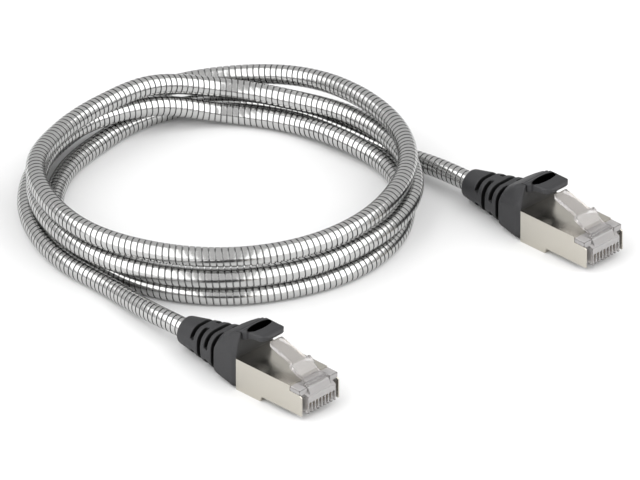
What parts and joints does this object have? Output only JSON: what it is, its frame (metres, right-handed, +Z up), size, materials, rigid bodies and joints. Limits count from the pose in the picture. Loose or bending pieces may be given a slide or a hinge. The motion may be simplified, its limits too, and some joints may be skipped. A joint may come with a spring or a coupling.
{
  "type": "ethernet patch cable",
  "caption": "Shielded ethernet patch cable in wound steel-strip armour, coiled, with a latching modular plug and booted strain relief at each end.",
  "frame": {"origin": "on the table, midway between the two plugs and midway along them", "axes": "+X is the way both plugs are pushed into their jacks, +Y runs from plug a to plug b, +Z is up"},
  "size_m": [0.1231, 0.1014, 0.0145],
  "materials": {
    "boot_pvc": "moulded black PVC, matt",
    "clear_polycarbonate": "clear polycarbonate, gloss",
    "nickel_shell": "stamped nickel-plated brass, bright",
    "crimp_metal": "crimped nickel-plated brass",
    "comb_nylon": "natural nylon",
    "inner_jacket": "dark PVC jacket",
    "foil": "aluminium foil screen",
    "armour_steel": "wound stainless steel strip, bright",
    "gold_contact": "gold-plated phosphor bronze",
    "wire_orange": "orange and white insulation",
    "wire_green": "green and white insulation",
    "wire_blue": "blue and white insulation",
    "wire_brown": "brown and white insulation"
  },
  "bodies": {
    "root": {"boot_a": "boot_pvc", "plug_body_a": "clear_polycarbonate", "shield_shell_a": "nickel_shell", "crimp_sleeve_a": "crimp_metal", "wire_comb_a": "comb_nylon", "inner_jacket_a": "inner_jacket", "foil_screen_a": "foil", "armour_end_a": "armour_steel", "contact_1_a": "gold_contact", "contact_2_a": "gold_contact", "contact_3_a": "gold_contact", "contact_4_a": "gold_contact", "contact_5_a": "gold_contact", "contact_6_a": "gold_contact", "contact_7_a": "gold_contact", "contact_8_a": "gold_contact", "pair_orange_a": "wire_orange", "pair_green_a": "wire_green", "pair_blue_a": "wire_blue", "pair_brown_a": "wire_brown", "boot_b": "boot_pvc", "plug_body_b": "clear_polycarbonate", "shield_shell_b": "nickel_shell", "crimp_sleeve_b": "crimp_metal", "wire_comb_b": "comb_nylon", "inner_jacket_b": "inner_jacket", "foil_screen_b": "foil", "armour_end_b": "armour_steel", "contact_1_b": "gold_contact", "contact_2_b": "gold_contact", "contact_3_b": "gold_contact", "contact_4_b": "gold_contact", "contact_5_b": "gold_contact", "contact_6_b": "gold_contact", "contact_7_b": "gold_contact", "contact_8_b": "gold_contact", "pair_orange_b": "wire_orange", "pair_green_b": "wire_green", "pair_blue_b": "wire_blue", "pair_brown_b": "wire_brown", "cable_lead_a": "armour_steel", "cable_coil": "armour_steel", "cable_lead_b": "armour_steel"},
    "latch_a": {"latch_a": "clear_polycarbonate"},
    "latch_guard_a": {"latch_guard_a": "boot_pvc"},
    "latch_b": {"latch_b": "clear_polycarbonate"},
    "latch_guard_b": {"latch_guard_b": "boot_pvc"}
  },
  "joints": [
    {"name": "guard_press_a", "type": "hinge", "parent": "root", "child": "latch_guard_a", "pos_m": [-0.0008, -0.0446, 0.0124], "axis": [0, 1, 0], "range_deg": [0, 11], "stiffness_Nm_per_rad": 0.02},
    {"name": "latch_press_a", "type": "hinge", "parent": "root", "child": "latch_a", "pos_m": [0.0186, -0.0446, 0.00755], "axis": [0, -1, 0], "range_deg": [0, 8.5], "stiffness_Nm_per_rad": 0.02},
    {"name": "guard_press_b", "type": "hinge", "parent": "root", "child": "latch_guard_b", "pos_m": [-0.0008, 0.0446, 0.0124], "axis": [0, 1, 0], "range_deg": [0, 11], "stiffness_Nm_per_rad": 0.02},
    {"name": "latch_press_b", "type": "hinge", "parent": "root", "child": "latch_b", "pos_m": [0.0186, 0.0446, 0.00755], "axis": [0, -1, 0], "range_deg": [0, 8.5], "stiffness_Nm_per_rad": 0.02}
  ],
  "couplings": [
    {"joint": "latch_press_a", "follows": "guard_press_a", "ratio": 0.7726},
    {"joint": "latch_press_b", "follows": "guard_press_b", "ratio": 0.7726}
  ]
}
